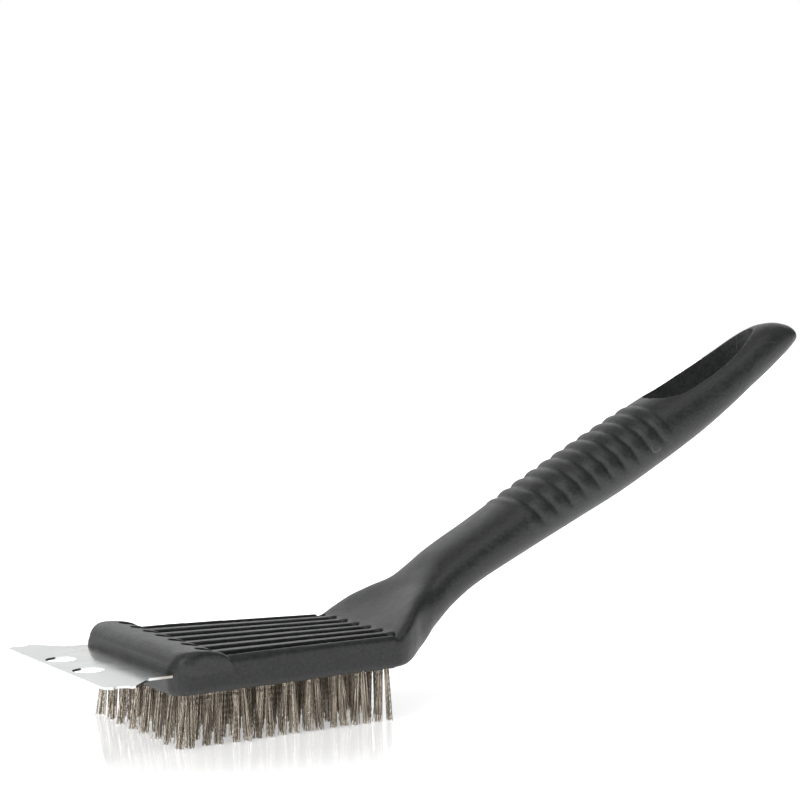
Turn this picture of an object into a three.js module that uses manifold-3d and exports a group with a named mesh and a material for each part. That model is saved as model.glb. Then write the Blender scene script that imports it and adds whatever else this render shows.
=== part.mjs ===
// Grill cleaning brush: a moulded body with handle, a scraper plate in its nose, and stapled wire tufts.
// Millimetres, +Z up. The brush stands on its tuft tips (z = 0) and its length runs along X:
// the scraper edge is at the -X end and the handle's tip at the +X end.
import * as THREE from 'three';
import { mergeVertices } from 'three/addons/utils/BufferGeometryUtils.js';
import Module from 'manifold-3d';

const wasm = await Module();
wasm.setup();

// ---- driving dimensions; x is counted from the head's front face ----
const PLATE_REACH = 24.8;      // scraper edge in front of the head
const BODY_LENGTH = 268.6;      // front face to the handle's tip
const UNDERSIDE = 17.2;        // free length of a tuft
const FIT_GAP = 0.3;           // between touching pieces

const head = {
  frontHalf: 40.8, rearHalf: 31.1, length: 82.6, cornerRadius: 5,
  deckFront: 29, deckRear: 28.3, ceiling: 40,
};
const band = { frontHalf: 41.9, length: 16, top: 31.2, slopeEnd: 20, from: 22 };
const groove = { count: 7, front: 11, rear: 86, frontPitch: 11.1, rearPitch: 8.8, width: 6.2, floor: 26.4 };
const slotForPlate = { depth: 12.5, z: 23.7 };
const plate = {
  thickness: 0.8, neckHalf: 37.6, innerHalf: 38.3, innerOut: 7.2, earHalf: 48.4, earOut: 15.4,
  notchOut: 19.7, notchRadius: 3, notchHalf: 48.9, tipHalf: 44.9, holeOut: 17.5, holeHalf: 12.75, holeRadius: 5.2,
};
const tuft = {
  rows: 9, columns: 8, firstRow: 7.3, rowPitch: 9, frontPitch: 10.06, rearPitch: 8.05,
  holeRadius: 2.15, holeDepth: 5.4, rootRadius: 1.8, legRoot: 0.72, legOut: 0.86, legTip: 1.45, legSplay: 2.1,
  singlesEachSide: 2,
};
const anchor = { length: 3.1, thickness: 0.5, height: 1.5 };
const grip = { first: 141.7, pitch: 5.3, count: 10, depth: 1.3 };
const hang = { from: 203, to: 249.5, half: 11 };
const channel = { from: 84.6, to: 192, wall: 4.2, roof: 6.5 };

// ---- the handle's side view and plan: [x, z or half-width] ----
const handleTop = [
  [70, 27.8], [84, 28.6], [88, 31.2], [93, 35.2], [98, 39.2], [103, 43], [108, 47.2], [113, 51], [118.6, 54.2],
  [130.7, 60.6], [141, 66.6], [160, 77.6], [185, 91], [202, 99.4], [220, 108.2], [238, 117.3], [244, 120.9],
  [249.4, 123.8], [254, 125.3], [258.5, 125.7], [263, 125], [266.4, 123.4], [BODY_LENGTH, 120.8],
];
const handleBottom = [
  [70, 17.8], [83, 17.2], [87, 17.2], [92, 17.6], [98.6, 19.3], [102, 20.9], [105.2, 23.4], [110, 27.3],
  [114, 30.8], [118, 33.9], [122, 36.7], [126, 39], [130, 41.1], [138, 44.9], [150, 50.5], [167, 58.3],
  [184, 66.2], [200, 74.8], [218, 85.1], [227, 90.9], [236, 97], [242, 101.1], [248, 104.9], [254, 108.9],
  [260, 113.2], [265, 117], [BODY_LENGTH, 119.2],
];
const handleHalf = [
  [70, 30.6], [83, 31], [87, 29.6], [92, 26.2], [97, 21.8], [102, 18.4], [107, 16.6], [114, 15.8], [130, 15.5],
  [160, 15.6], [200, 15.8], [222, 15.4], [236, 14.2], [246, 12.4], [255, 10], [262, 7.4], [266, 4.8],
  [BODY_LENGTH, 1.6],
];

function curveThrough(points) {
  // piecewise-cubic value with slopes limited so that it never overshoots its points
  const n = points.length;
  const rise = points.slice(1).map(([x, v], i) => (v - points[i][1]) / (x - points[i][0]));
  const slope = points.map((_, i) => {
    if (i === 0) return rise[0];
    if (i === n - 1) return rise[n - 2];
    return rise[i - 1] * rise[i] <= 0 ? 0 : (2 * rise[i - 1] * rise[i]) / (rise[i - 1] + rise[i]);
  });
  return (x) => {
    const at = Math.min(Math.max(points.findIndex(([px]) => px >= x), 1), n - 1);
    const [[x0, v0], [x1, v1]] = [points[at - 1], points[at]];
    const span = x1 - x0;
    const t = THREE.MathUtils.clamp((x - x0) / span, 0, 1);
    return (1 + 2 * t) * (1 - t) ** 2 * v0 + t * (1 - t) ** 2 * span * slope[at - 1]
      + t * t * (3 - 2 * t) * v1 + t * t * (t - 1) * span * slope[at];
  };
}

const topAt = curveThrough(handleTop);
const bottomAt = curveThrough(handleBottom);
const halfAt = curveThrough(handleHalf);

// ---- solids ----
function solidOf(geometry) {
  const bare = geometry.clone();
  bare.deleteAttribute('normal');
  bare.deleteAttribute('uv');
  const merged = mergeVertices(bare, 1e-4);
  return new wasm.Manifold(new wasm.Mesh({
    numProp: 3,
    vertProperties: new Float32Array(merged.attributes.position.array),
    triVerts: new Uint32Array(merged.index.array),
  }));
}

function geometryOf(solid) {
  const mesh = solid.getMesh();
  const geometry = new THREE.BufferGeometry();
  geometry.setAttribute('position', new THREE.BufferAttribute(new Float32Array(mesh.vertProperties), 3));
  geometry.setIndex(new THREE.BufferAttribute(new Uint32Array(mesh.triVerts), 1));
  geometry.computeVertexNormals();
  return geometry;
}

const moved = (geometry, x, y, z) => geometry.translate(x, y, z);

function outline(points, radius, arcSteps = 4) {
  // closed outline with each corner rounded
  const shape = new THREE.Shape();
  points.forEach((corner, i) => {
    const before = points[(i + points.length - 1) % points.length];
    const after = points[(i + 1) % points.length];
    const here = new THREE.Vector2(...corner);
    const inward = new THREE.Vector2(...before).sub(here).setLength(radius).add(here);
    const outward = new THREE.Vector2(...after).sub(here).setLength(radius).add(here);
    for (let k = 0; k <= arcSteps; k++) {
      const t = k / arcSteps;
      const p = inward.clone().multiplyScalar((1 - t) ** 2)
        .addScaledVector(here, 2 * t * (1 - t)).addScaledVector(outward, t * t);
      if (i === 0 && k === 0) shape.moveTo(p.x, p.y);
      else shape.lineTo(p.x, p.y);
    }
  });
  shape.closePath();
  return shape;
}

function standing(shape, bottom, top) {
  const geometry = new THREE.ExtrudeGeometry(shape, { depth: top - bottom, bevelEnabled: false });
  return moved(geometry, 0, 0, bottom);
}

function acrossY(points, half) {
  // a side view (x, z) extruded across the brush
  const shape = new THREE.Shape(points.map((p) => new THREE.Vector2(...p)));
  const geometry = new THREE.ExtrudeGeometry(shape, { depth: 2 * half, bevelEnabled: false });
  return geometry.rotateX(Math.PI / 2).translate(0, half, 0);
}

const grooveWave = (x) => {
  const along = (x - grip.first) / grip.pitch;
  if (along <= 0 || along >= grip.count) return 0;
  return grip.depth * Math.sin(Math.PI * (along % 1)) ** 0.8;
};

function loft(stations, sides, place) {
  // a cylinder whose rings are laid on the sections that place(x, angle) gives
  const geometry = new THREE.CylinderGeometry(1, 1, 1, sides, stations.length - 1);
  const position = geometry.attributes.position;
  for (let i = 0; i < position.count; i++) {
    const ring = Math.round((0.5 - position.getY(i)) * (stations.length - 1));
    const x = stations[stations.length - 1 - ring];
    const reach = Math.hypot(position.getX(i), position.getZ(i));
    const angle = Math.atan2(position.getZ(i), position.getX(i));
    const p = place(x, -angle, reach);
    position.setXYZ(i, x, p.y, p.z);
  }
  return geometry;
}

const power = (v, e) => (Math.abs(v) < 1e-9 ? 0 : Math.sign(v) * Math.abs(v) ** e);

function handleSection(x, angle, reach) {
  const [top, bottom, half] = [topAt(x), bottomAt(x), halfAt(x)];
  const boxy = THREE.MathUtils.smoothstep(x, 86, 108);
  const upper = THREE.MathUtils.lerp(0.28, 0.92, boxy);
  const lower = THREE.MathUtils.lerp(0.28, 0.5, boxy);
  const [c, s] = [Math.cos(angle), Math.sin(angle)];
  const e = s > 0 ? upper : lower;
  const tuck = s > 0 ? 1 : 1 - 0.22 * boxy * s * s;
  const middle = (top + bottom) / 2;
  const fade = Math.max(0, s) ** 0.7;
  return {
    y: power(c, e) * half * tuck * reach,
    z: middle + (power(s, e) * (top - bottom) / 2 - grooveWave(x) * fade) * reach,
  };
}

function channelSection(x, angle, reach) {
  const end = THREE.MathUtils.smoothstep(x, channel.to - 16, channel.to);
  const start = THREE.MathUtils.smoothstep(x, channel.from - 2, channel.from + 20);
  const half = Math.max(halfAt(x) * 0.86 - channel.wall, 4) * (1 - 0.5 * end);
  const roofNow = bottomAt(x) + (topAt(x) - bottomAt(x) - channel.roof) * (0.35 + 0.65 * start) * (1 - 0.7 * end);
  const floorNow = bottomAt(x) - 4;
  const [c, s] = [Math.cos(angle), Math.sin(angle)];
  const e = s > 0 ? 0.6 : 0.3;
  const middle = (roofNow + floorNow) / 2;
  return { y: power(c, e) * half * reach, z: middle + power(s, e) * ((roofNow - floorNow) / 2) * reach };
}

// ---- moulded body ----
function headBlock() {
  const { frontHalf, rearHalf, length, cornerRadius } = head;
  const plan = outline([[0, -frontHalf], [length, -rearHalf], [length, rearHalf], [0, frontHalf]], cornerRadius);
  const side = [
    [0, UNDERSIDE], [length, UNDERSIDE], [length, head.deckRear], [band.slopeEnd, head.deckFront],
    [band.slopeEnd - 4, band.top - 0.8], [band.slopeEnd - 9, band.top - 0.2], [6, band.top],
    [3.4, band.top - 0.4], [1.8, band.top - 1.6], [1, band.top - 3.4], [0, slotForPlate.z + 1.6],
  ];
  return solidOf(standing(plan, UNDERSIDE, head.ceiling)).intersect(solidOf(acrossY(side, 60)));
}

function bandEnds() {
  // the front band stands proud of the head's sides and ends in a rounded step
  const { frontHalf, length, top } = band;
  const taper = (head.frontHalf - head.rearHalf) / head.length;
  const rear = frontHalf - taper * length;
  const plan = outline([[0.2, -frontHalf], [length, -rear], [length, rear], [0.2, frontHalf]], 5);
  const side = [
    [0.4, band.from + 3], [2, band.from], [length - 3, band.from], [length, band.from + 3], [length, top - 3.6],
    [length - 2.5, top - 1.1], [6, top - 0.3], [3.6, top - 0.7], [2, top - 2], [1.2, top - 3.6],
  ];
  return solidOf(standing(plan, UNDERSIDE, head.ceiling)).intersect(solidOf(acrossY(side, 60)));
}

function tuftPlaces() {
  const places = [];
  for (let row = 0; row < tuft.rows; row++) {
    const pitch = THREE.MathUtils.lerp(tuft.frontPitch, tuft.rearPitch, row / (tuft.rows - 1));
    for (let column = 0; column < tuft.columns; column++) {
      const x = tuft.firstRow + row * tuft.rowPitch;
      places.push({ row, column, x, y: (column - (tuft.columns - 1) / 2) * pitch });
    }
  }
  return places;
}

function peg(radius, length, sides) {
  return new THREE.CylinderGeometry(radius, radius, length, sides).rotateX(Math.PI / 2).rotateZ(Math.PI / 6);
}

function deckGroove(index) {
  const off = index - (groove.count - 1) / 2;
  const [yFront, yRear] = [off * groove.frontPitch, off * groove.rearPitch];
  const run = new THREE.Vector2(groove.rear - groove.front, yRear - yFront);
  const shape = new THREE.Shape();
  const radius = groove.width / 2;
  shape.absarc(0, 0, radius, Math.PI / 2, 1.5 * Math.PI, false);
  shape.absarc(run.length() - 2 * radius, 0, radius, -Math.PI / 2, Math.PI / 2, false);
  const flat = new THREE.ExtrudeGeometry(shape, { depth: 20, bevelEnabled: false, curveSegments: 5 });
  return flat.rotateZ(run.angle()).translate(groove.front + radius, yFront, groove.floor);
}

function hangingSlot() {
  // long drop-shaped hole, cored straight down through the handle
  const { from, to, half } = hang;
  const side = [[from, 0], [from + 0.8, half - 6], [from + 3, half - 2.6], [from + 8, half - 0.3], [from + 18, half],
    [to - 21, half - 0.6], [to - 13, half - 2.2], [to - 8, half - 4.6], [to - 4, half - 7.4], [to - 1, half - 9.8]];
  const mirrored = side.slice(1).reverse().map(([x, y]) => [x, -y]);
  const shape = new THREE.Shape([...side, [to, 0], ...mirrored].map((p) => new THREE.Vector2(...p)));
  return standing(shape, bottomAt(from) - 10, topAt(to) + 10);
}

function buildBody() {
  const gripEnd = grip.first + grip.pitch * grip.count;
  const stations = [70, 83, 86, 90, 94, 98, 102, 107, 112, 118, 126, 134];
  for (let k = 0; k <= grip.count * 4; k++) stations.push(grip.first + (k * grip.pitch) / 4);
  stations.push(gripEnd + 6, 210, 222, 234, 244, 250, 256, 261, 264.5, 267, BODY_LENGTH);
  const channelStations = [channel.from, 88, 94, 100, 106, 114, 124, 140, 160, 176, 183, 188, channel.to];
  let body = solidOf(loft(stations, 20, handleSection)).add(headBlock()).add(bandEnds());
  body = body.subtract(solidOf(loft(channelStations, 14, channelSection)));
  body = body.subtract(solidOf(hangingSlot()));
  const slotHeight = plate.thickness + 2 * FIT_GAP;
  const slotBox = new THREE.BoxGeometry(2 * slotForPlate.depth, 2 * (plate.neckHalf + FIT_GAP), slotHeight);
  body = body.subtract(solidOf(moved(slotBox, 0, 0, slotForPlate.z)));
  for (let index = 0; index < groove.count; index++) body = body.subtract(solidOf(deckGroove(index)));
  for (const { x, y } of tuftPlaces()) {
    const hole = peg(tuft.holeRadius, 2 * tuft.holeDepth, 6);
    body = body.subtract(solidOf(moved(hole, x, y, UNDERSIDE)));
  }
  return geometryOf(body);
}

// ---- scraper plate ----
function buildPlate() {
  // blanked sheet: a tang in the head's nose, two flared ears with a round bite each, and two round holes
  const p = plate;
  const half = [
    [slotForPlate.depth - FIT_GAP, p.neckHalf], [0, p.neckHalf], [-p.innerOut, p.innerHalf], [-p.earOut, p.earHalf],
    [-p.earOut - 1.6, p.earHalf + 0.2], [-PLATE_REACH + 2.4, p.tipHalf + 2.4], [-PLATE_REACH, p.tipHalf],
  ];
  const mirrored = [...half].reverse().map(([x, y]) => [x, -y]);
  const shape = new THREE.Shape([...half, ...mirrored].map((q) => new THREE.Vector2(...q)));
  const bottom = slotForPlate.z - p.thickness / 2;
  let sheet = solidOf(standing(shape, bottom, bottom + p.thickness));
  for (const sign of [-1, 1]) {
    const bite = peg(p.notchRadius, 10, 20);
    const hole = peg(p.holeRadius, 10, 32);
    sheet = sheet.subtract(solidOf(moved(bite, -p.notchOut, sign * p.notchHalf, bottom)));
    sheet = sheet.subtract(solidOf(moved(hole, -p.holeOut, sign * p.holeHalf, bottom)));
  }
  return geometryOf(sheet);
}

// ---- wire tufts ----
function tuftSolid(x, y) {
  // a doubled bundle of wires: its fold sits in the hole over a flat anchor, and its two legs spread along X
  const rootTop = UNDERSIDE + tuft.holeDepth - FIT_GAP - 0.9;
  const rootBottom = UNDERSIDE - 1.2;
  const root = moved(peg(tuft.rootRadius, rootTop - rootBottom, 6), 0, 0, (rootTop + rootBottom) / 2);
  let solid = solidOf(root);
  for (const sign of [-1, 1]) {
    const length = rootBottom + 0.6;
    const leg = new THREE.CylinderGeometry(tuft.legRoot, tuft.legTip, length, 4).rotateY(Math.PI / 4);
    leg.rotateX(Math.PI / 2).translate(0, 0, length / 2);
    const position = leg.attributes.position;
    for (let i = 0; i < position.count; i++) {
      const out = THREE.MathUtils.lerp(tuft.legOut, tuft.legSplay, 1 - position.getZ(i) / length);
      position.setX(i, position.getX(i) + sign * out);
    }
    solid = solid.add(solidOf(leg));
  }
  const bar = new THREE.BoxGeometry(anchor.thickness, anchor.length, anchor.height);
  solid = solid.add(solidOf(moved(bar, 0, 0, rootTop + 0.1)));
  return solid.translate(x, y, 0);
}

function strayWire(from, to) {
  // a loose wire that lies across two neighbouring tufts just under the head
  const length = to.y - from.y;
  const strand = new THREE.BoxGeometry(0.5, length, 0.5);
  return solidOf(moved(strand, (from.x + to.x) / 2, (from.y + to.y) / 2, UNDERSIDE - 0.7));
}

// ---- finishes ----
const plastic = new THREE.MeshStandardMaterial({ color: 0x24272a, roughness: 0.55, metalness: 0 });
const stainless = new THREE.MeshStandardMaterial({ color: 0xb9bbbc, roughness: 0.25, metalness: 1 });
const wire = new THREE.MeshStandardMaterial({ color: 0x8a8175, roughness: 0.4, metalness: 1 });

const brush = new THREE.Group();
brush.position.x = (PLATE_REACH - BODY_LENGTH) / 2;

function addPart(name, geometry, material) {
  const mesh = new THREE.Mesh(geometry, material);
  mesh.name = name;
  brush.add(mesh);
}

addPart('body', buildBody(), plastic);
addPart('scraper_plate', buildPlate(), stainless);
const places = tuftPlaces();
for (let row = 0; row < tuft.rows; row++) {
  const inRow = places.filter((place) => place.row === row);
  for (let column = 0; column < tuft.columns; column++) {
    const place = inRow[column];
    const outer = column < tuft.singlesEachSide || column >= tuft.columns - tuft.singlesEachSide;
    if (outer) {
      addPart(`tuft_r${row + 1}_c${column + 1}`, geometryOf(tuftSolid(place.x, place.y)), wire);
    } else {
      const mate = inRow[column + 1];
      const pair = tuftSolid(place.x, place.y).add(tuftSolid(mate.x, mate.y)).add(strayWire(place, mate));
      addPart(`tuft_pair_r${row + 1}_c${column + 1}`, geometryOf(pair), wire);
      column += 1;
    }
  }
}

export default brush;
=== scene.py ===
import math
import random

import bmesh
import bpy
from mathutils import Matrix, Vector


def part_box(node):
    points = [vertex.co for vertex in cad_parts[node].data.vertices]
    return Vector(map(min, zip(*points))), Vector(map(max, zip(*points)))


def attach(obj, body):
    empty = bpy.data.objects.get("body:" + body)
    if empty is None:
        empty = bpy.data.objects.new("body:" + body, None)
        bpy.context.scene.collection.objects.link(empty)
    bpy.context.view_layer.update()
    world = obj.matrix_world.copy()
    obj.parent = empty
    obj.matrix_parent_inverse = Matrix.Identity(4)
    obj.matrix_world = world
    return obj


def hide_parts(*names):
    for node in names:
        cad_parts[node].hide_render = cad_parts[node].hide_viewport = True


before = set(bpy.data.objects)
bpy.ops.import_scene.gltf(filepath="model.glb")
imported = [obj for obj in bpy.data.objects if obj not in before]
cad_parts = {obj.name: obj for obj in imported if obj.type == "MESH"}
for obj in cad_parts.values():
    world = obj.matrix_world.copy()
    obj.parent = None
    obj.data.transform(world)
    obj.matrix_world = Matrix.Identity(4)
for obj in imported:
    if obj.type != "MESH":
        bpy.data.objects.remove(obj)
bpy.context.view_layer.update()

# ---- Camera ----------------------------------------------------------------------------------
# A long lens, held low at the scraper end and turned a little clockwise, so that the head
# comes forward and the handle climbs away to the right.
CAMERA_PLACE = Vector((-0.4009, -0.7317, 0.1505))
CAMERA_AZIMUTH, CAMERA_ELEVATION, CAMERA_ROLL = (math.radians(a) for a in (-27.52, 3.24, -1.2))
LENS_MM = 108.75

camera = bpy.data.objects.new("camera", bpy.data.cameras.new("camera"))
bpy.context.scene.collection.objects.link(camera)
camera.data.lens = LENS_MM
camera.data.sensor_width = 36
camera.data.clip_start, camera.data.clip_end = 0.01, 100
camera.matrix_world = (
    Matrix.Translation(CAMERA_PLACE)
    @ Matrix.Rotation(CAMERA_AZIMUTH, 4, "Z")
    @ Matrix.Rotation(math.pi / 2 - CAMERA_ELEVATION, 4, "X")
    @ Matrix.Rotation(CAMERA_ROLL, 4, "Z")
)
bpy.context.scene.camera = camera
bpy.context.scene.view_settings.view_transform = "Standard"


# ---- Studio: light, floor and surroundings -----------------------------------------------------
# A white sweep behind the brush lights its edges, softboxes above and at the left fill in,
# and the side the camera stands on is left dim. The floor is white sheet that glows evenly, polished under
# the head, where its glow is painted grey as painted shade.
def soft_light(name, place, aim, size, radiance):
    """A rectangular softbox at place that faces aim and glows evenly at the given radiance."""
    lamp = bpy.data.lights.new(name, "AREA")
    lamp.shape = "RECTANGLE"
    lamp.size, lamp.size_y = size
    lamp.energy = radiance * math.pi * size[0] * size[1]
    holder = bpy.data.objects.new(name, lamp)
    bpy.context.scene.collection.objects.link(holder)
    holder.location = place
    holder.rotation_euler = (Vector(aim) - Vector(place)).to_track_quat("-Z", "Y").to_euler()
    holder.visible_camera = False


soft_light("sweep_light", (0.6, 2.4, 1.35), (0, 0, 0.1), (5.0, 1.5), 1.45)
soft_light("horizon_light", (0.6, 2.45, 0.3), (0, 0, 0.1), (5.0, 0.6), 0.76)
soft_light("top_light", (-0.1, -0.5, 1.9), (0, 0, 0.05), (1.3, 1.1), 1.9)
soft_light("left_light", (-1.8, -0.7, 1.0), (0, 0, 0.05), (1.0, 0.9), 6.0)
soft_light("right_light", (1.1, -1.9, 0.6), (0, 0, 0.05), (1.2, 0.9), 0.15)


class Value:
    """A shader socket that takes part in plain arithmetic, adding Math nodes as it goes."""

    def __init__(self, tree, socket):
        self.tree, self.socket = tree, socket

    def combined(self, operation, first, second):
        node = self.tree.nodes.new("ShaderNodeMath")
        node.operation = operation
        for at, term in enumerate((first, second)):
            if isinstance(term, Value):
                self.tree.links.new(term.socket, node.inputs[at])
            else:
                node.inputs[at].default_value = term
        return Value(self.tree, node.outputs[0])

    def __add__(self, other):
        return self.combined("ADD", self, other)

    def __radd__(self, other):
        return self.combined("ADD", other, self)

    def __sub__(self, other):
        return self.combined("SUBTRACT", self, other)

    def __rsub__(self, other):
        return self.combined("SUBTRACT", other, self)

    def __mul__(self, other):
        return self.combined("MULTIPLY", self, other)

    def __rmul__(self, other):
        return self.combined("MULTIPLY", other, self)


class Finish:
    """A node tree being written: a material's, or the world's."""

    def __init__(self, tree):
        self.tree = tree
        tree.nodes.clear()

    def node(self, kind, settings=None, **sockets):
        """A new node with its settings made first, then its sockets given values or links."""
        made = self.tree.nodes.new(kind)
        for name, value in (settings or {}).items():
            setattr(made, name, value)
        for name, value in sockets.items():
            key = name.replace("_", " ")
            socket = next(s for s in made.inputs if s.identifier == name or s.name == key)
            if isinstance(value, Value):
                self.tree.links.new(value.socket, socket)
            else:
                socket.default_value = value
        return made

    def out(self, kind, output, settings=None, **sockets):
        """One output of a new node."""
        return Value(self.tree, self.node(kind, settings, **sockets).outputs[output])

    def noise(self, where, scale, detail=2.0, roughness=0.5):
        return self.out("ShaderNodeTexNoise", "Fac", Vector=where, Scale=scale, Detail=detail,
                        Roughness=roughness)

    def stretched(self, where, scale, turn=(0, 0, 0)):
        """Coordinates that are turned and scaled apart along each axis, for streaks."""
        return self.out("ShaderNodeMapping", "Vector", Vector=where, Scale=scale, Rotation=turn)

    def step(self, value, low, high, start=0.0, end=1.0):
        """A smooth climb from start to end as value goes from low to high."""
        return self.out("ShaderNodeMapRange", "Result", {"interpolation_type": "SMOOTHSTEP"}, Value=value,
                        From_Min=low, From_Max=high, To_Min=start, To_Max=end)

    def blend(self, share, first, second):
        """A colour between two colours."""
        return self.out("ShaderNodeMix", 2, {"data_type": "RGBA"},
                        Factor_Float=share, A_Color=first, B_Color=second)

    def bump(self, height, distance, strength):
        return self.out("ShaderNodeBump", "Normal", Height=height, Distance=distance, Strength=strength)


def new_material(name):
    material = bpy.data.materials.new(name)
    material.use_nodes = True
    return material, Finish(material.node_tree)


def close_material(make, **sockets):
    shader = make.node("ShaderNodeBsdfPrincipled", **sockets)
    out = make.node("ShaderNodeOutputMaterial")
    make.tree.links.new(shader.outputs[0], out.inputs["Surface"])


ROOM_GREY = (0.15, 0.16, 0.155, 1)
CEILING_GREY = (0.23, 0.23, 0.23, 1)
WHITE = (1, 1, 1, 1)
world = bpy.data.worlds.new("studio_room")
bpy.context.scene.world = world
world.use_nodes = True
room = Finish(world.node_tree)
seen = room.out("ShaderNodeLightPath", "Is Camera Ray")
up = room.out("ShaderNodeSeparateXYZ", "Z", Vector=room.out("ShaderNodeTexCoord", "Generated"))
dim_room = room.blend(room.step(up, 0.45, 0.75), ROOM_GREY, CEILING_GREY)
glow = room.node("ShaderNodeBackground", Color=room.blend(seen, dim_room, WHITE))
room.tree.links.new(glow.outputs[0], room.node("ShaderNodeOutputWorld").inputs["Surface"])

FLOOR_SIZE = 4.5
POLISH_AND_SHADE_SPOT = (-0.08, 0.0, 0.0)       # where the polish and the painted shade are full; both fade out between the two radii
SHADE_AND_POLISH_FULL, SHADE_AND_POLISH_GONE = 0.05, 0.16
# the grey glow near the head is painted shade under the brush
CONTACT_SHADE_GLOW = (0.74, 0.74, 0.74, 1)
bm = bmesh.new()
bmesh.ops.create_grid(bm, x_segments=1, y_segments=1, size=FLOOR_SIZE / 2)
floor_mesh = bpy.data.meshes.new("floor")
bm.to_mesh(floor_mesh)
bm.free()
floor = bpy.data.objects.new("floor", floor_mesh)
bpy.context.scene.collection.objects.link(floor)
floor_finish, make = new_material("white_floor")
where = make.out("ShaderNodeTexCoord", "Object")
spread = make.out("ShaderNodeVectorMath", "Value", {"operation": "DISTANCE"},
                  Vector=where, Vector_001=POLISH_AND_SHADE_SPOT)
polish_and_shade = make.step(spread, SHADE_AND_POLISH_FULL, SHADE_AND_POLISH_GONE, 1.0, 0.0)
# the floor's glow greys from white near the head: painted shade; the coat there is a real polish
close_material(make, Base_Color=(0.88, 0.88, 0.88, 1), Roughness=1.0, Specular_IOR_Level=0.0,
               Coat_Weight=polish_and_shade, Coat_Roughness=0.06, Coat_IOR=1.7,
               Emission_Color=make.blend(polish_and_shade, WHITE, CONTACT_SHADE_GLOW), Emission_Strength=1.0)
floor.data.materials.append(floor_finish)

# ---- Moulded body ------------------------------------------------------------------------------
# One moulding in black plastic with a fine grain: a flat head with a grooved top, a thick band
# across its nose, and a neck that sweeps up into a handle with ridges and a slot to hang it by.
MM = 0.001
body_low, body_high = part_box("body")
FRONT = body_low.x / MM           # the head's front face; x below is counted from it
UNDERSIDE = body_low.z / MM
BODY_LENGTH = (body_high.x - body_low.x) / MM

HEAD_FRONT_HALF, HEAD_REAR_HALF, HEAD_LENGTH = 40.8, 31.1, 82.6
HEAD_CORNER, HEAD_TOP_FILLET, HEAD_LOW_FILLET = 6.5, 1.8, 2.3
HEAD_NOSE_FILLET = 4.5            # keeps the head's front top edge inside the band
DECK_FRONT, DECK_REAR = 29.0, 28.3
BAND_FOOT, BAND_TOP, BAND_REAR, BAND_PROUD, BAND_FILLET = 22.5, 31.2, 20.8, 1.1, 2.0
GROOVES, GROOVE_START, GROOVE_END, GROOVE_FLOOR = 7, 10.5, 84.8, 26.3
GROOVE_WIDTH_FRONT, GROOVE_WIDTH_REAR = 7.2, 5.6
GROOVE_PITCH_FRONT, GROOVE_PITCH_REAR = 11.1, 8.8
TUFT_ROWS, TUFT_COLUMNS, FIRST_ROW, ROW_PITCH = 9, 8, 7.3, 9.0
COLUMN_PITCH_FRONT, COLUMN_PITCH_REAR = 10.06, 8.05
HOLE_RADIUS, HOLE_DEPTH = 2.0, 3.6
NICK_SIZE = (0.9, 1.6, 2.0, 1)

# side view and plan of the neck and handle, each a list of (x, height or half-width)
HANDLE_TOP = [
    (60, 27.6), (80, 28.0), (84, 28.6), (88, 31.0), (93, 34.9), (98, 38.7), (103, 42.5), (108, 46.6),
    (113, 50.8), (118.6, 54.2), (130.7, 60.8), (141, 66.8), (160, 77.8), (185, 91.2), (202, 99.6),
    (220, 108.4), (238, 117.5), (244, 121.0), (249.4, 123.7), (254, 125.2), (258.5, 125.6),
    (263, 124.9), (266.4, 123.3), (BODY_LENGTH, 120.7),
]
HANDLE_RIM = [
    (60, 18.2), (78, 17.6), (83, 17.3), (87, 17.3), (92, 17.7), (98.6, 19.4), (102, 21.0), (105.2, 23.5),
    (110, 27.4), (114, 30.9), (118, 34.0), (122, 36.8), (126, 39.1), (130, 41.2), (138, 45.0), (150, 50.6),
    (167, 58.4), (184, 66.3), (200, 74.9), (218, 85.2), (227, 91.0), (236, 97.1), (242, 101.2),
    (248, 105.0), (254, 109.0), (260, 113.3), (265, 117.0), (BODY_LENGTH, 119.4),
]
HANDLE_HALF = [
    (60, 29.8), (78, 30.6), (83, 31.0), (87, 30.0), (92, 26.9), (97, 22.7), (102, 19.8), (107, 17.4),
    (114, 15.8), (130, 15.5), (160, 15.6), (200, 15.8), (222, 15.4), (236, 14.2), (246, 12.3),
    (255, 9.9), (262, 7.3), (266, 4.7), (BODY_LENGTH, 1.6),
]
# how far the two shoulders beside the hollow behind the deck rise above it
SHOULDER_RISE = [
    (60, 0), (83, 0.2), (88, 1.6), (94, 3.6), (100, 4.8), (106, 3.5), (113, 0.6), (BODY_LENGTH, 0),
]


def curve_through(points):
    """A smooth curve through its points that never overshoots them."""
    rises = [(b[1] - a[1]) / (b[0] - a[0]) for a, b in zip(points, points[1:])]
    slopes = [rises[0]]
    for before, after in zip(rises, rises[1:]):
        slopes.append(0 if before * after <= 0 else 2 * before * after / (before + after))
    slopes.append(rises[-1])

    def value(x):
        at = next((i for i in range(1, len(points)) if points[i][0] >= x), len(points) - 1)
        (x0, v0), (x1, v1) = points[at - 1], points[at]
        span = x1 - x0
        t = min(max((x - x0) / span, 0), 1)
        return ((1 + 2 * t) * (1 - t) ** 2 * v0 + t * (1 - t) ** 2 * span * slopes[at - 1]
                + t * t * (3 - 2 * t) * v1 + t * t * (t - 1) * span * slopes[at])

    return value


def mix(a, b, share):
    return a + (b - a) * share


def smooth_between(low, high, value):
    t = min(max((value - low) / (high - low), 0), 1)
    return t * t * (3 - 2 * t)


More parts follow.
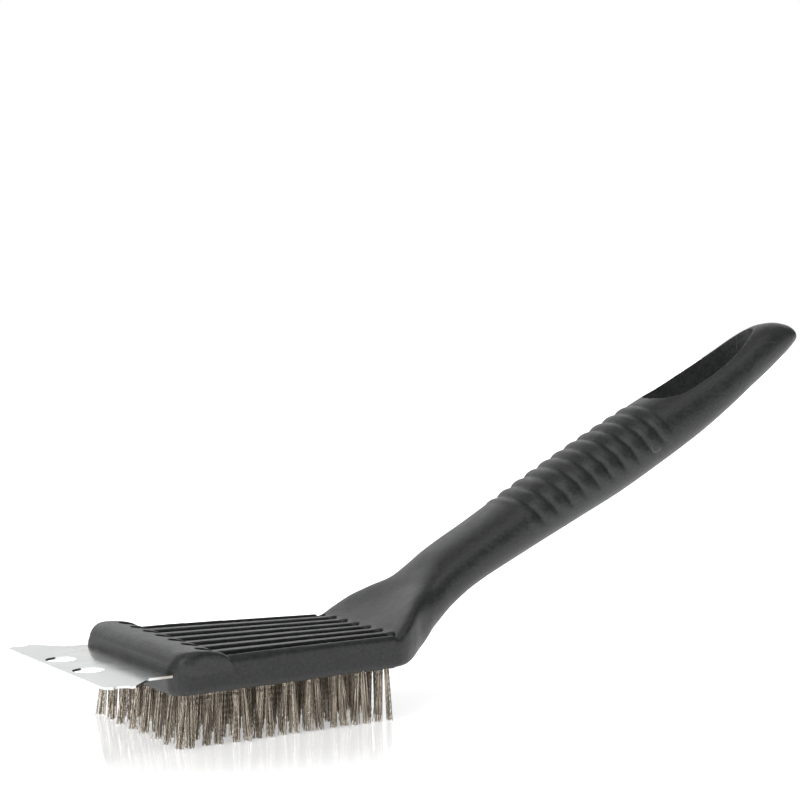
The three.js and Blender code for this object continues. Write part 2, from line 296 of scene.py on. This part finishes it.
def object_from(bm, name):
    """The bmesh, drawn in millimetres from the head's front face, as an object in the frame."""
    bm.normal_update()
    bmesh.ops.recalc_face_normals(bm, faces=bm.faces)
    bmesh.ops.scale(bm, vec=(MM, MM, MM), verts=bm.verts)
    bmesh.ops.translate(bm, vec=(FRONT * MM, 0, 0), verts=bm.verts)
    mesh = bpy.data.meshes.new(name)
    bm.to_mesh(mesh)
    bm.free()
    made = bpy.data.objects.new(name, mesh)
    bpy.context.scene.collection.objects.link(made)
    return made


def baked(made):
    """Replaces an object's mesh by what its modifiers make of it."""
    graph = bpy.context.evaluated_depsgraph_get()
    result = bpy.data.meshes.new_from_object(made.evaluated_get(graph))
    made.modifiers.clear()
    made.data = result
    return made


def combine(made, other, operation):
    """Joins or cuts made with other, and removes other."""
    cut = made.modifiers.new("cut", "BOOLEAN")
    cut.operation, cut.solver, cut.object = operation, "MANIFOLD", other
    baked(made)
    bpy.data.objects.remove(other)
    return made


def unit_tube(sides, cuts):
    """A closed tube of radius 1 from z = 0 to 1, cut into rings of equal height."""
    bm = bmesh.new()
    bmesh.ops.create_cone(bm, cap_ends=True, segments=sides, radius1=1, radius2=1, depth=1,
                          matrix=Matrix.Translation((0, 0, 0.5)))
    along = [e for e in bm.edges if abs(e.verts[0].co.z - e.verts[1].co.z) > 0.5]
    bmesh.ops.subdivide_edges(bm, edges=along, cuts=cuts)
    return bm


def lofted(stations, sides, place):
    """A closed tube along x: one ring for each station, its points where place(x, angle) puts them."""
    bm = unit_tube(sides, len(stations) - 2)
    for v in bm.verts:
        x = stations[round(v.co.z * (len(stations) - 1))]
        v.co = (x, *place(x, math.atan2(v.co.y, v.co.x)))
    return bm


def rounded(angle, squareness):
    """A point of the unit rounded square in that direction; squareness 2 is a circle."""
    c, s = math.cos(angle), math.sin(angle)
    reach = (abs(c) ** squareness + abs(s) ** squareness) ** (-1 / squareness)
    return c * reach, s * reach


top_at, rim_at, half_at, rise_at = (
    curve_through(points) for points in (HANDLE_TOP, HANDLE_RIM, HANDLE_HALF, SHOULDER_RISE)
)

RIDGE_FIRST, RIDGE_PITCH, RIDGES, RIDGE_RISE, RIDGE_DEPTH, RIDGE_LEAN = 141.7, 5.48, 11, 0.4, 1.6, 0.45


def ridge_rise(x):
    """How far the grip's row of rounded ridges, with sharp valleys between, stands off the outline."""
    along = (x - RIDGE_FIRST) / RIDGE_PITCH + 0.5
    if not 0 < along < RIDGES:
        return 0
    crest = math.sin(math.pi * (along % 1) ** 0.62) ** 0.8
    ends = smooth_between(0, 0.4, along) * smooth_between(0, 0.4, RIDGES - along)
    return (RIDGE_RISE - RIDGE_DEPTH * (1 - crest)) * ends


def handle_section(x, angle):
    top, rim, half = top_at(x), rim_at(x), half_at(x)
    head_like = 1 - smooth_between(82, 106, x)
    square = mix(2.15, 6.5, head_like) if math.sin(angle) > 0 else mix(3.4, 12.0, head_like)
    y, z = rounded(angle, square)
    tuck = 1 if z > 0 else 1 - 0.2 * (1 - head_like) * z * z
    middle, tall = (top + rim) / 2, (top - rim) / 2
    rise = rise_at(x) * (y * y - 0.25) * max(0, z)
    ridge = ridge_rise(x - RIDGE_LEAN * tall * (1 - z)) * smooth_between(-0.45, 0.25, z)
    return y * (half * tuck + ridge), middle + z * (tall + ridge) + rise


CHANNEL_FROM, CHANNEL_TO, CHANNEL_WALL, CHANNEL_ROOF = 83.5, 196.0, 4.2, 6.5


def channel_section(x, angle):
    """The hollow under the neck and handle, open below, bowl-shaped at the head's end."""
    start = smooth_between(CHANNEL_FROM - 2, CHANNEL_FROM + 20, x)
    end = smooth_between(CHANNEL_TO - 18, CHANNEL_TO, x)
    half = max(half_at(x) * 0.86 - CHANNEL_WALL, 4) * (1 - 0.5 * end)
    depth = (top_at(x) - rim_at(x) - CHANNEL_ROOF) * mix(0.35, 1, start) * (1 - 0.75 * end)
    y, z = rounded(angle, 3.0 if math.sin(angle) > 0 else 6.0)
    roof, mouth = rim_at(x) + depth, rim_at(x) - 4
    return y * half, (roof + mouth) / 2 + z * (roof - mouth) / 2


def head_half(x):
    return mix(HEAD_FRONT_HALF, HEAD_REAR_HALF, x / HEAD_LENGTH)


def edges_where(bm, test):
    """The edges for which test(middle, run) is true."""
    ends = {e: [v.co for v in e.verts] for e in bm.edges}
    return [e for e, (first, last) in ends.items() if test((first + last) / 2, last - first)]


def soften(bm, edges, radius, segments=6):
    bmesh.ops.bevel(bm, geom=edges, offset=radius, offset_type="OFFSET", segments=segments, profile=0.5,
                    affect="EDGES", material=-1, clamp_overlap=False)


def block(corners, low, high):
    """A straight-sided block over a plan outline."""
    bm = bmesh.new()
    face = bm.faces.new([bm.verts.new((x, y, low)) for x, y in corners])
    grown = bmesh.ops.extrude_face_region(bm, geom=[face])["geom"]
    upper = [v for v in grown if isinstance(v, bmesh.types.BMVert)]
    bmesh.ops.translate(bm, vec=(0, 0, high - low), verts=upper)
    return bm


def head_block():
    """The flat head, its deck falling a little to the rear, its corners and edges rounded."""
    near_side = [(0, -HEAD_FRONT_HALF), (HEAD_LENGTH, -HEAD_REAR_HALF)]
    far_side = [(HEAD_LENGTH, HEAD_REAR_HALF), (0, HEAD_FRONT_HALF)]
    bm = block(near_side + far_side, UNDERSIDE, DECK_FRONT)
    for v in bm.verts:
        if v.co.z > UNDERSIDE + 1 and v.co.x > 1:
            v.co.z = DECK_REAR
    corners = edges_where(bm, lambda middle, run: abs(run.z) > 5 and middle.x < 1)
    soften(bm, corners, HEAD_CORNER, 10)
    nose = edges_where(bm, lambda middle, run: abs(run.z) < 0.1
                       and middle.z > 25 and middle.x < HEAD_CORNER)
    soften(bm, nose, HEAD_NOSE_FILLET)
    sides = edges_where(bm, lambda middle, run: abs(run.z) < 2 and middle.z > 25
                        and middle.x > 20 and abs(middle.y) > 20)
    soften(bm, sides, HEAD_TOP_FILLET)
    low = edges_where(bm, lambda middle, run: middle.z < UNDERSIDE + 0.01 and middle.x < HEAD_LENGTH - 1)
    soften(bm, low, HEAD_LOW_FILLET)
    return object_from(bm, "head")


# side view of the band, up its leaning front and down to the deck
BAND_SIDE = [
    (0.0, BAND_FOOT), (0.35, 24.5), (0.75, 26.3), (1.25, 27.8), (1.9, 29.0), (2.8, 30.0), (4.0, 30.75),
    (5.6, 31.12), (7.5, BAND_TOP), (10, 31.1), (12.5, 30.85), (15, 30.4), (17.2, 29.75), (18.9, 28.8),
    (20.1, 27.6), (BAND_REAR, 26), (BAND_REAR, BAND_FOOT),
]


def quarter_round(radius, past):
    """How far a rounded corner has fallen back, past millimetres into it."""
    return radius - math.sqrt(max(0, radius ** 2 - max(0, past) ** 2))


def band_block():
    """The band across the nose: its crest falls to the deck, and its ends stand proud of the sides."""
    turns = [math.radians(a) for a in range(0, 91, 10)]
    across = [HEAD_FRONT_HALF - HEAD_CORNER * (1 - math.sin(turn)) for turn in turns]
    across = [-y for y in reversed(across)] + across
    bm = unit_tube(len(BAND_SIDE), len(across) - 2)
    for v in bm.verts:
        y = across[round(v.co.z * (len(across) - 1))]
        share = math.atan2(-v.co.x, v.co.y) / math.tau
        x, z = BAND_SIDE[round(share * len(BAND_SIDE)) % len(BAND_SIDE)]
        inset = HEAD_FRONT_HALF - abs(y)
        x = mix(quarter_round(HEAD_CORNER, HEAD_CORNER - inset), BAND_REAR, x / BAND_REAR)
        drop = quarter_round(BAND_FILLET, BAND_FILLET - inset)
        proud = mix(-0.3, BAND_PROUD, smooth_between(BAND_FOOT, 28.0, z))
        height = (z - BAND_FOOT) * (1 - drop / (BAND_TOP - BAND_FOOT))
        v.co = (x, y / HEAD_FRONT_HALF * (head_half(x) + proud), BAND_FOOT + height)
    return object_from(bm, "band")


def tuft_places():
    """Each tuft's row, column and centre on the underside."""
    for row in range(TUFT_ROWS):
        pitch = mix(COLUMN_PITCH_FRONT, COLUMN_PITCH_REAR, row / (TUFT_ROWS - 1))
        for column in range(TUFT_COLUMNS):
            yield row, column, FIRST_ROW + row * ROW_PITCH, (column - (TUFT_COLUMNS - 1) / 2) * pitch


def hole_cutters():
    bm = bmesh.new()
    for _, _, x, y in tuft_places():
        bmesh.ops.create_cone(bm, cap_ends=True, segments=24, radius1=HOLE_RADIUS, radius2=HOLE_RADIUS,
                              depth=2 * HOLE_DEPTH, matrix=Matrix.Translation((x, y, UNDERSIDE)))
    return object_from(bm, "holes")


def nick_cutters():
    """The nicks that the ends of the flat anchors leave beside the holes."""
    bm = bmesh.new()
    for _, _, x, y in tuft_places():
        beside = Matrix.Translation((x, y - HOLE_RADIUS - 0.2, UNDERSIDE))
        bmesh.ops.create_cube(bm, size=1, matrix=beside @ Matrix.Diagonal(NICK_SIZE))
    return object_from(bm, "nicks")


def groove_cutters():
    """Seven long pockets with round ends, spreading a little towards the nose."""
    bm = bmesh.new()
    for index in range(GROOVES):
        off = index - (GROOVES - 1) / 2
        front, rear = GROOVE_WIDTH_FRONT / 2, GROOVE_WIDTH_REAR / 2
        pocket = bmesh.ops.create_cone(bm, cap_ends=True, segments=40, radius1=0.94, radius2=1.06, depth=16)
        for v in pocket["verts"]:
            if v.co.x > 0.001:
                x, y = GROOVE_END - rear + v.co.x * rear, off * GROOVE_PITCH_REAR + v.co.y * rear
            else:
                x, y = GROOVE_START + front + v.co.x * front, off * GROOVE_PITCH_FRONT + v.co.y * front
            v.co = (x, y, GROOVE_FLOOR + 8 + v.co.z)
    return object_from(bm, "grooves")


HANG_FROM, HANG_WIDEST, HANG_TO, HANG_HALF = 203.0, 217.0, 249.5, 11.0


def hang_half(x):
    """Half the hanging slot's width: blunt towards the grip, drawn out to a point at the tip."""
    if x < HANG_WIDEST:
        return HANG_HALF * max(0, 1 - ((HANG_WIDEST - x) / (HANG_WIDEST - HANG_FROM)) ** 2.6) ** 0.5
    return HANG_HALF * max(0, 1 - ((x - HANG_WIDEST) / (HANG_TO - HANG_WIDEST)) ** 2.2) ** 0.66


def hanging_slot_cutter():
    """The drop-shaped hanging slot, cored straight down through the handle's end."""
    bm = bmesh.new()
    bmesh.ops.create_cone(bm, cap_ends=True, segments=192, radius1=1, radius2=1, depth=60)
    for v in bm.verts:
        x, z = mix(HANG_FROM, HANG_TO, (v.co.x + 1) / 2), 100 + v.co.z
        flare = 1 + 0.012 * (z - top_at(x))
        v.co = (x, math.copysign(hang_half(x) * flare, v.co.y), z)
    bmesh.ops.remove_doubles(bm, verts=bm.verts, dist=1e-4)
    return object_from(bm, "hanging_slot")


def stations(low, high, step):
    count = max(2, round((high - low) / step))
    return [mix(low, high, k / count) for k in range(count + 1)]


VOXEL = 0.38
BODY_TRIANGLES = 190_000

ridges_from, ridges_to = RIDGE_FIRST - RIDGE_PITCH, RIDGE_FIRST + (RIDGES + 2) * RIDGE_PITCH
along_handle = stations(60, ridges_from, 0.9)[:-1] + stations(ridges_from, ridges_to, 0.3)[:-1]
bm = lofted(along_handle + stations(ridges_to, BODY_LENGTH, 0.9), 160, handle_section)
body = object_from(bm, "moulded_body")
combine(body, head_block(), "UNION")
combine(body, band_block(), "UNION")
bm = lofted(stations(CHANNEL_FROM, CHANNEL_TO, 1.5), 64, channel_section)
combine(body, object_from(bm, "channel"), "DIFFERENCE")
combine(body, hanging_slot_cutter(), "DIFFERENCE")
combine(body, groove_cutters(), "DIFFERENCE")
combine(body, hole_cutters(), "DIFFERENCE")
combine(body, nick_cutters(), "DIFFERENCE")
skin = body.modifiers.new("skin", "REMESH")
skin.mode, skin.voxel_size = "VOXEL", VOXEL * MM
ease = body.modifiers.new("ease", "SMOOTH")
ease.factor, ease.iterations = 0.5, 2
baked(body)
thin = body.modifiers.new("thin", "DECIMATE")
thin.ratio = min(1, BODY_TRIANGLES / (2 * len(body.data.polygons)))
baked(body)
body.data.shade_smooth()

plastic, make = new_material("charcoal_plastic")
where = make.out("ShaderNodeTexCoord", "Object")
grain = make.noise(where, 1700, 3.0, 0.6)
pores = make.noise(where, 900, 2.0)
mottle = make.noise(where, 210, 5.0, 0.65)
cloud = make.noise(where, 16, 2.0)
scuff = make.step(make.noise(where, 170, 6.0, 0.7), 0.58, 0.74)
speck = make.step(make.noise(where, 1100, 1.0), 0.76, 0.80)
hairs = make.noise(make.stretched(where, (60, 1500, 60), (0.3, 0.5, 0.9)), 1.0, 2.0)
scratch = make.step(hairs, 0.74, 0.78)
tone = pores * 0.55 + mottle * 0.3 + cloud * 0.15
colour = make.blend(make.step(tone, 0.35, 0.65), (0.0115, 0.0132, 0.0121, 1), (0.0280, 0.0303, 0.0284, 1))
colour = make.blend(scuff * 0.30, colour, (0.065, 0.068, 0.063, 1))
colour = make.blend(speck * 0.35 + scratch * 0.35, colour, (0.13, 0.13, 0.125, 1))
roughness = 0.47 + (mottle - 0.5) * 0.25 + (pores - 0.5) * 0.2 + scuff * 0.1
close_material(make, Base_Color=colour, Roughness=roughness,
               Normal=make.bump(grain * 0.6 + pores * 0.4, 0.00028, 0.8))
body.data.materials.clear()
body.data.materials.append(plastic)
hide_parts("body")
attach(body, "root")

# ---- Scraper plate -----------------------------------------------------------------------------
# A blanked strip of stainless sheet, moulded into the nose. Its two ears have a round bite each
# for cleaning grate rods, and two round holes lighten it. The rolled face is stained at its root.
plate_low, plate_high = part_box("scraper_plate")
PLATE_REACH = (body_low.x - plate_low.x) / MM
PLATE_DEPTH = (plate_high.x - body_low.x) / MM
# one side of the plate in plan, each point its distance out from the head and its half-width
PLATE_OUTLINE = [
    (-PLATE_DEPTH, 37.6), (0, 37.6), (7.2, 38.3), (15.4, 48.3), (17.0, 48.5),
    (PLATE_REACH - 2.4, 47.3), (PLATE_REACH, 44.9),
]
BITE_OUT, BITE_SIDE, BITE_RADIUS = 19.7, 48.9, 3.0
HOLE_OUT, HOLE_SIDE, PLATE_HOLE_RADIUS = 17.5, 12.75, 5.2
PLATE_CORNER, PLATE_BEVEL = 0.6, 0.13

outline = [(-out, side) for out, side in PLATE_OUTLINE]
outline += [(-out, -side) for out, side in reversed(PLATE_OUTLINE)]
bm = block(outline, plate_low.z / MM, plate_high.z / MM)
soften(bm, edges_where(bm, lambda middle, run: abs(run.z) > 0.1 and middle.x < -20), PLATE_CORNER, 3)
plate = object_from(bm, "scraper_sheet")
bm = bmesh.new()
for sign in (-1, 1):
    for out, side, radius in (BITE_OUT, BITE_SIDE, BITE_RADIUS), (HOLE_OUT, HOLE_SIDE, PLATE_HOLE_RADIUS):
        bmesh.ops.create_cone(bm, cap_ends=True, segments=72, radius1=radius, radius2=radius, depth=10,
                              matrix=Matrix.Translation((-out, sign * side, plate_low.z / MM)))
combine(plate, object_from(bm, "punches"), "DIFFERENCE")
edge = plate.modifiers.new("edge", "BEVEL")
edge.width, edge.segments = PLATE_BEVEL * MM, 2
edge.limit_method, edge.angle_limit = "ANGLE", math.radians(50)
baked(plate)
plate.data.shade_smooth()
plate.data.set_sharp_from_angle(angle=math.radians(15))

steel, make = new_material("stainless_sheet")
where = make.out("ShaderNodeTexCoord", "Object")
along = make.out("ShaderNodeSeparateXYZ", "X", Vector=where)
root = make.step(along, (FRONT - 13) * MM, (FRONT - 1) * MM)
rolled = make.noise(make.stretched(where, (5200, 160, 1)), 1.0, 2.0)
streaks = make.noise(make.stretched(where, (60, 300, 1)), 1.0, 4.0, 0.6)
patches = make.noise(where, 75, 4.0, 0.6)
smudge = make.step(make.noise(where, 190, 3.0), 0.62, 0.74)
stain = root * make.step(streaks * 0.6 + patches * 0.4, 0.44, 0.62)
colour = make.blend(make.step(patches, 0.35, 0.7), (0.60, 0.612, 0.615, 1), (0.66, 0.675, 0.68, 1))
colour = make.blend(stain * 0.65, colour, (0.27, 0.205, 0.145, 1))
colour = make.blend(smudge * 0.4, colour, (0.24, 0.23, 0.22, 1))
roughness = 0.10 + patches * 0.05 + stain * 0.08 + smudge * 0.08
close_material(make, Base_Color=colour, Metallic=1.0, Roughness=roughness,
               Normal=make.bump(rolled, 0.00001, 0.12))
plate.data.materials.clear()
plate.data.materials.append(steel)
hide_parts("scraper_plate")
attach(plate, "root")

# ---- Wire tufts --------------------------------------------------------------------------------
# Each tuft is a bundle of crimped steel wires doubled over a flat anchor in its hole, so two
# bunches of wires stand side by side along the brush and spread towards their cut tips.
WIRES_PER_BUNCH = 19
WIRE_RADIUS = 0.155
CRIMP, CRIMP_STEP = 0.085, 0.95
BUNCH_ROOT, BUNCH_TIP = 0.78, 1.35
BUNCH_OUT_ROOT, BUNCH_OUT_TIP = 0.88, 2.05
ROOT_DEPTH = 2.6
SIDES = 4

wire, make = new_material("crimped_wire")
where = make.out("ShaderNodeTexCoord", "Object")
height = make.out("ShaderNodeSeparateXYZ", "Z", Vector=where)
shade = make.noise(make.stretched(where, (2600, 2600, 60)), 1.0, 1.0)
phase = make.noise(make.stretched(where, (1100, 1100, 12)), 1.0, 1.0)
# the crimp wave bumps the wires and also paints lighter dots along them as painted highlights
crimp_and_glint = make.out("ShaderNodeMath", 0, {"operation": "SINE"}, Value=height * 8400.0 + phase * 25.0)
# the cut tips are painted near-white as painted highlights
tip = make.step(height, 0.00012, 0.0004, 1.0, 0.0)
colour = make.blend(make.step(shade, 0.38, 0.62), (0.10, 0.080, 0.060, 1), (0.58, 0.51, 0.42, 1))
colour = make.blend(make.step(crimp_and_glint, 0.2, 0.9) * 0.5, colour, (0.72, 0.66, 0.58, 1))
colour = make.blend(tip, colour, (0.85, 0.84, 0.82, 1))
close_material(make, Base_Color=colour, Metallic=1.0, Roughness=0.36 + (shade - 0.5) * 0.2,
               Normal=make.bump(crimp_and_glint, 0.00003, 0.6))

rng = random.Random(7)
WIRE_STEPS = round((UNDERSIDE + ROOT_DEPTH) / CRIMP_STEP)
straight_wire = bpy.data.meshes.new("straight_wire")
bm = unit_tube(SIDES, WIRE_STEPS - 1)
bm.to_mesh(straight_wire)
bm.free()


def add_wire(bm, root, end, turn):
    """One crimped wire: a thin square rod that zigzags in its own plane from its root to its cut tip."""
    before = len(bm.verts)
    bm.from_mesh(straight_wire)
    bm.verts.ensure_lookup_table()
    sideways = Vector((math.cos(turn), math.sin(turn), 0)) * CRIMP
    for v in bm.verts[before:]:
        centre = root.lerp(end, v.co.z) + sideways * (-1) ** round(v.co.z * WIRE_STEPS)
        v.co = centre + Vector((v.co.x, v.co.y, 0)) * WIRE_RADIUS


def add_tuft(bm, x, y):
    lean = Vector((rng.gauss(0, 0.4) - 1.6 * max(0, 1 - (x - FIRST_ROW) / 20), rng.gauss(0, 0.35), 0))
    for sign in (-1, 1):
        for k in range(WIRES_PER_BUNCH):
            reach = math.sqrt((k + 0.5) / WIRES_PER_BUNCH)
            angle = 2.4 * k + rng.uniform(-0.3, 0.3)
            off = Vector((math.cos(angle), math.sin(angle), 0)) * reach
            root = Vector((x + sign * BUNCH_OUT_ROOT, y, UNDERSIDE + ROOT_DEPTH)) + off * BUNCH_ROOT
            spread = off * BUNCH_TIP * rng.uniform(0.8, 1.2)
            spread += Vector((rng.gauss(0, 0.25), rng.gauss(0, 0.25), 0))
            end = Vector((x + sign * BUNCH_OUT_TIP, y, 0)) + spread + lean
            if rng.random() < 0.06:
                end += Vector((rng.gauss(0, 0.9), rng.gauss(0, 0.9), 0))
            end.z = 1.5 * rng.random() ** 2.5
            add_wire(bm, root, end, rng.uniform(0, math.pi))


def tuft_piece(name, node, spots):
    bm = bmesh.new()
    for x, y in spots:
        add_tuft(bm, x, y)
    piece = object_from(bm, name)
    piece.data.materials.append(wire)
    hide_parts(node)
    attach(piece, "root")


for row in range(TUFT_ROWS):
    spots = {column: (x, y) for r, column, x, y in tuft_places() if r == row}
    for column in (0, 1, 6, 7):
        tuft_piece(f"wires_r{row + 1}_c{column + 1}", f"tuft_r{row + 1}_c{column + 1}", [spots[column]])
    for column in (2, 4):
        tuft_piece(f"wires_r{row + 1}_c{column + 1}_c{column + 2}", f"tuft_pair_r{row + 1}_c{column + 1}",
                   [spots[column], spots[column + 1]])
